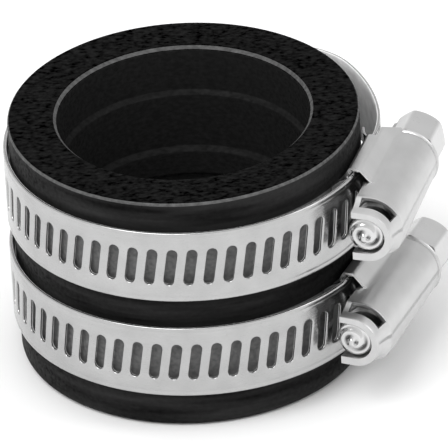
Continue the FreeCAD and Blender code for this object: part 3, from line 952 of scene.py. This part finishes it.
def add_arch(sheet, y, rows):
    """Half of the crown's section at y, as a column of points."""
    column = []
    for row, place in enumerate(rows):
        angle = math.radians(90) * min(row, ARC_STEPS) / ARC_STEPS
        normal = (math.cos(angle), math.sin(angle))
        thickness = sheet_thickness(y, place)
        column.append(sheet.add(y, row * ROW_GRAIN, place, normal, thickness))
    return column


def add_sides(sheet, y, foot, width):
    """The columns that go on from the arch's foot at y: a straight wall, a leg and a web."""
    leg, normals, web_rows = leg_line()
    thickness = sheet_thickness(y, (ARCH_FOOT, width))
    walls = [(level, width) for level in WALL_LEVELS]
    side = {"wall": sheet.add_line(foot, y, walls, [(0, 1)] * 3, thickness)}
    if y <= LEG_BACK:
        side["leg"] = sheet.add_line(foot, y, leg[1:], normals[1:], LEG_SHEET)
        side["web"] = side["leg"][:web_rows]
    else:
        share = np.interp(y, [WEB_BACK, CROWN_BACK], [1.0, WEB_END_SHARE])
        web = leg[0] + (leg[1:web_rows] - leg[0]) * share
        side["web"] = sheet.add_line(foot, y, web, normals[1:web_rows], LEG_SHEET)
    return side


def make_housing(clamp):
    """The folded crown over the worm: arch, legs round the strip, webs and a front collar."""
    stations = housing_stations()
    sheet = Sheet()
    for sheet.side in (1, -1):
        arches, sides = [], []
        window = range(WINDOW_FIRST_ROW[sheet.side], ARC_STEPS + 2)
        for y in stations:
            rows = arch_rows(y, sheet.side)
            arches.append(add_arch(sheet, y, rows))
            sides.append(add_sides(sheet, y, arches[-1][-1], rows[-1][1]))
        for i, (y, after) in enumerate(zip(stations, stations[1:])):
            in_window = y >= COLLAR_BACK - 0.01 and after <= CROWN_FRONT + 0.01
            sheet.join(arches[i], arches[i + 1], window if in_window else ())
            if after <= LEG_FRONT + 0.01:
                kind = "wall"
            elif after <= LEG_BACK + 0.01:
                kind = "leg"
            else:
                kind = "web"
            sheet.join(sides[i][kind], sides[i + 1][kind], (0,) if in_window else ())

    name = f"{clamp}_cover"
    housing = sheet_solid(name, sheet.faces, sheet.outer, sheet.inner, sheet.grain)
    weld(housing)
    smooth(housing, 38)
    settle(
        housing,
        clamp_matrix(clamp),
        f"{clamp}_clamp",
        f"{clamp}_housing",
        HOUSING_STEEL,
    )
    add_bevel(housing, 0.09, 45)


# ---------------------------------------------------------------- screw
SCREW_SEGMENTS = 96
THREAD_FOOT = 2.85
THREAD_TURNS = 5.0
THREAD_START = -3.0 * SLOT_PITCH
THREAD_STEPS = 240
THREAD_RUNOUT = 0.05


def hex_radius(angle):
    """The radius of the hexagon's outline in a direction."""
    sector = math.radians(60)
    within = (angle - HEAD_CLOCKING) % sector - sector / 2
    return min(ACROSS_FLATS / 2 / math.cos(within), HEAD_CORNER_RADIUS)


def turned_rows():
    """The screw from its tip to its flange: (radius, y) pairs."""
    return [
        (TIP_RADIUS, TIP_REACH + 0.02),
        (ROOT_RADIUS - 0.08, TIP_REACH + 0.15),
        (ROOT_RADIUS - 0.02, TIP_REACH + 0.3),
        (ROOT_RADIUS, TIP_REACH + 0.6),
        (ROOT_RADIUS, 0.0),
        (ROOT_RADIUS, FLANGE_FRONT - 0.1),
        (ROOT_RADIUS + 0.1, FLANGE_FRONT),
        (FLANGE_RADIUS - 0.15, FLANGE_FRONT),
        (FLANGE_RADIUS - 0.04, FLANGE_FRONT + 0.04),
        (FLANGE_RADIUS, FLANGE_FRONT + 0.15),
        (FLANGE_RADIUS, HEAD_FRONT - 0.25),
        (FLANGE_RADIUS - 0.08, HEAD_FRONT - 0.08),
        (FLANGE_RADIUS - 0.25, HEAD_FRONT),
    ]


def ring_at(y, radii, angles):
    """A ring of points round the screw's axis; radii has one radius for each angle."""
    return [(r * math.cos(a), y, r * math.sin(a)) for r, a in zip(radii, angles)]


def screw_grain(points):
    """Texture places that run along the screw, out from its axis and round it."""
    return [(p[1], math.hypot(p[0], p[2]), math.atan2(p[2], p[0])) for p in points]


def tip_rings(angles):
    """The tip's domed face with a worn spiral groove, and how much painted shade each of its
    points gets, most in the groove.
    """
    rings, groove_shade = [], []
    for radius in np.linspace(0.05, TIP_RADIUS - 0.1, 18):
        dome = TIP_DOME * (1 - (radius / TIP_RADIUS) ** 2)
        fade = min(1.0, (TIP_RADIUS - radius) / SPIRAL_EDGE) * min(1.0, radius / SPIRAL_CENTRE)
        ring = []
        for angle in angles:
            # the groove is nearly worn away on two opposite sides
            left = 0.6 + 0.4 * math.sin(2 * angle + 2.6)
            groove = fade * left * math.sin(angle - 2 * math.pi * radius / SPIRAL_PITCH)
            y = TIP_REACH - dome - SPIRAL_DEPTH * groove
            ring.append((radius * math.cos(angle), y, radius * math.sin(angle)))
            # painted shade: darkest where the groove is deepest
            groove_shade.append(max(0.0, -GROOVE_SHADE_GAIN * groove - GROOVE_SHADE_OFFSET))
        rings.append(ring)
    return rings, groove_shade


def head_rings(angles):
    """The hexagonal head, with its far end chamfered by a cone."""
    chamfer_start = HEAD_BACK - HEAD_CHAMFER
    levels = [HEAD_FRONT, HEAD_FRONT + 0.03, chamfer_start]
    levels += list(np.linspace(chamfer_start, HEAD_BACK, 16))[1:]
    rings = []
    for y in levels:
        cone = ACROSS_FLATS / 2 - CHAMFER_INSET + (HEAD_BACK - y) * CHAMFER_SLOPE
        foot = 0.05 if y == HEAD_FRONT else 0.0
        rings.append(ring_at(y, [min(hex_radius(a) - foot, cone) for a in angles], angles))
    rings.append(ring_at(HEAD_BACK + 0.02, [HEAD_FACE_RADIUS] * len(angles), angles))
    return rings


def make_screw(clamp):
    """The hex-head worm screw, turned round its own axis and then laid along Y."""
    angles = np.arange(SCREW_SEGMENTS) * 2 * math.pi / SCREW_SEGMENTS + HEAD_CLOCKING
    rings, groove_shade = tip_rings(angles)
    rings += [ring_at(y, [radius] * len(angles), angles) for radius, y in turned_rows()]
    rings += head_rings(angles)
    points = [p for ring in rings for p in ring]
    faces = grid_faces(len(rings), SCREW_SEGMENTS, wrap_columns=True)
    faces.append(tuple(range(SCREW_SEGMENTS)))
    faces.append(tuple(range(len(points) - SCREW_SEGMENTS, len(points))))
    screw = make_mesh(f"{clamp}_screw_solid", points, faces, screw_grain(points))
    layer = screw.data.attributes.new("groove_shade", "FLOAT", "POINT")
    layer.data.foreach_set("value", groove_shade + [0.0] * (len(points) - len(groove_shade)))
    weld(screw)

    cutter = driver_slot_cutter()
    cut = screw.modifiers.new("driver_slot", "BOOLEAN")
    cut.operation = "DIFFERENCE"
    cut.object = cutter
    pick_only(screw)
    bpy.ops.object.modifier_apply(modifier=cut.name)
    bpy.data.objects.remove(cutter)

    screw = join([screw, make_worm()], f"{clamp}_screw_piece")
    smooth(screw, 32)
    matrix = clamp_matrix(clamp) @ Matrix.Translation((SCREW_OFFSET, 0, 0))
    settle(
        screw, matrix, f"{clamp}_screw", f"{clamp}_worm_screw", SCREW_STEEL
    )


def driver_slot_cutter():
    """A box for the flat driver slot across the head; it stands out past the head's face."""
    bpy.ops.mesh.primitive_cube_add(size=1)
    box = bpy.context.active_object
    spare = 1.0
    middle = HEAD_BACK - DRIVER_SLOT_DEPTH / 2 + spare / 2
    place = Matrix.Translation((0, middle, 0))
    turn = Matrix.Rotation(-DRIVER_SLOT_CLOCKING, 4, "Y")
    size = (2 * ACROSS_FLATS, DRIVER_SLOT_DEPTH + spare, DRIVER_SLOT_WIDTH, 1)
    box.data.transform(place @ turn @ Matrix.Diagonal(size))
    return box


def make_worm():
    """The right-handed thread: a trapezoid swept along a helix, run out at both ends."""
    section = [(THREAD_FOOT, -0.65), (WORM_RADIUS - 0.1, -0.43), (WORM_RADIUS, -0.3)]
    section += [(r, -y) for r, y in reversed(section)]
    points = []
    for k in range(THREAD_STEPS + 1):
        share = k / THREAD_STEPS
        angle = math.pi + 2 * math.pi * THREAD_TURNS * share
        ease = min(1.0, share / THREAD_RUNOUT, (1 - share) / THREAD_RUNOUT)
        middle = THREAD_START + THREAD_TURNS * SLOT_PITCH * share
        for radius, y in section:
            r = THREAD_FOOT + (radius - THREAD_FOOT) * ease
            points.append((r * math.cos(angle), middle + y, -r * math.sin(angle)))
    faces = grid_faces(THREAD_STEPS + 1, len(section), wrap_columns=True)
    faces.append(tuple(range(len(section))))
    faces.append(tuple(range(len(points) - len(section), len(points))))
    return make_mesh("worm", points, faces, screw_grain(points))


# ---------------------------------------------------------------- studio
FLOOR_REACH = 3000

# lamps and the camera are placed in metres
LAMP_TARGET = (0, 0, 0.02)
CAMERA_DISTANCE = 1.65
CAMERA_ELEVATION = math.radians(30.99)
CAMERA_LENS = 826.3
CAMERA_TARGET = (0.0055, -0.0095, 0.0262)
CAMERA_ROLL = math.radians(-3.24)


def make_floor():
    """A wide pale floor that runs off to white."""
    material, _, shader = new_material("floor_white")
    shader.inputs["Base Color"].default_value = (0.95, 0.95, 0.95, 1)
    shader.inputs["Roughness"].default_value = 0.9
    signs = [(-1, -1), (1, -1), (1, 1), (-1, 1)]
    corners = [(FLOOR_REACH * x, FLOOR_REACH * y, 0) for x, y in signs]
    floor = make_mesh("floor", corners, [(0, 1, 2, 3)])
    floor.data.transform(Matrix.Scale(MM, 4))
    floor.data.materials.append(material)


def aim(obj, target, roll=0.0):
    """Turn a camera or lamp towards a point, and roll it about its line of sight."""
    direction = Vector(target) - obj.location
    turn = Matrix.Rotation(roll, 3, "Z").to_quaternion()
    obj.rotation_mode = "QUATERNION"
    obj.rotation_quaternion = direction.to_track_quat("-Z", "Y") @ turn


def add_softbox(name, place, width, height, watts):
    """A large area lamp aimed at the coupling."""
    lamp = bpy.data.lights.new(name, "AREA")
    lamp.shape = "RECTANGLE"
    lamp.size, lamp.size_y = width, height
    lamp.energy = watts
    obj = bpy.data.objects.new(name, lamp)
    obj.location = place
    bpy.context.scene.collection.objects.link(obj)
    aim(obj, LAMP_TARGET)


def make_world():
    """An even light tent, a little darker half way up."""
    world = bpy.data.worlds.new("studio")
    world.use_nodes = True
    tree = world.node_tree
    back = tree.nodes["Background"]
    place = tree.nodes.new("ShaderNodeTexCoord").outputs["Generated"]
    split = tree.nodes.new("ShaderNodeSeparateXYZ")
    tree.links.new(place, split.inputs["Vector"])
    shade = add_ramp(tree, split.outputs["Z"], [(0.0, 1.0), (0.25, 0.92), (0.5, 0.72), (0.8, 1.0)])
    tree.links.new(shade, back.inputs["Color"])
    back.inputs["Strength"].default_value = 1.0
    bpy.context.scene.world = world
    bpy.context.scene.view_settings.view_transform = "Standard"


def make_camera():
    """A long lens from the front and above, rolled a little as the product shot is."""
    data = bpy.data.cameras.new("camera")
    data.lens = CAMERA_LENS
    data.sensor_width = 36
    data.clip_start, data.clip_end = 0.1, 20
    camera = bpy.data.objects.new("camera", data)
    back = CAMERA_DISTANCE * math.cos(CAMERA_ELEVATION)
    up = CAMERA_DISTANCE * math.sin(CAMERA_ELEVATION)
    camera.location = (0, -back, SLEEVE_HEIGHT * MM + up)
    bpy.context.scene.collection.objects.link(camera)
    aim(camera, CAMERA_TARGET, CAMERA_ROLL)
    bpy.context.scene.camera = camera


make_sleeve()
for clamp_name in ("upper", "lower"):
    make_band(clamp_name)
    make_saddle(clamp_name)
    make_housing(clamp_name)
    make_screw(clamp_name)

make_floor()
make_world()
add_softbox("key", (-0.55, -0.75, 1.35), width=1.1, height=0.9, watts=13)
add_softbox("right", (1.3, -0.35, 1.0), width=0.5, height=1.0, watts=4)
make_camera()
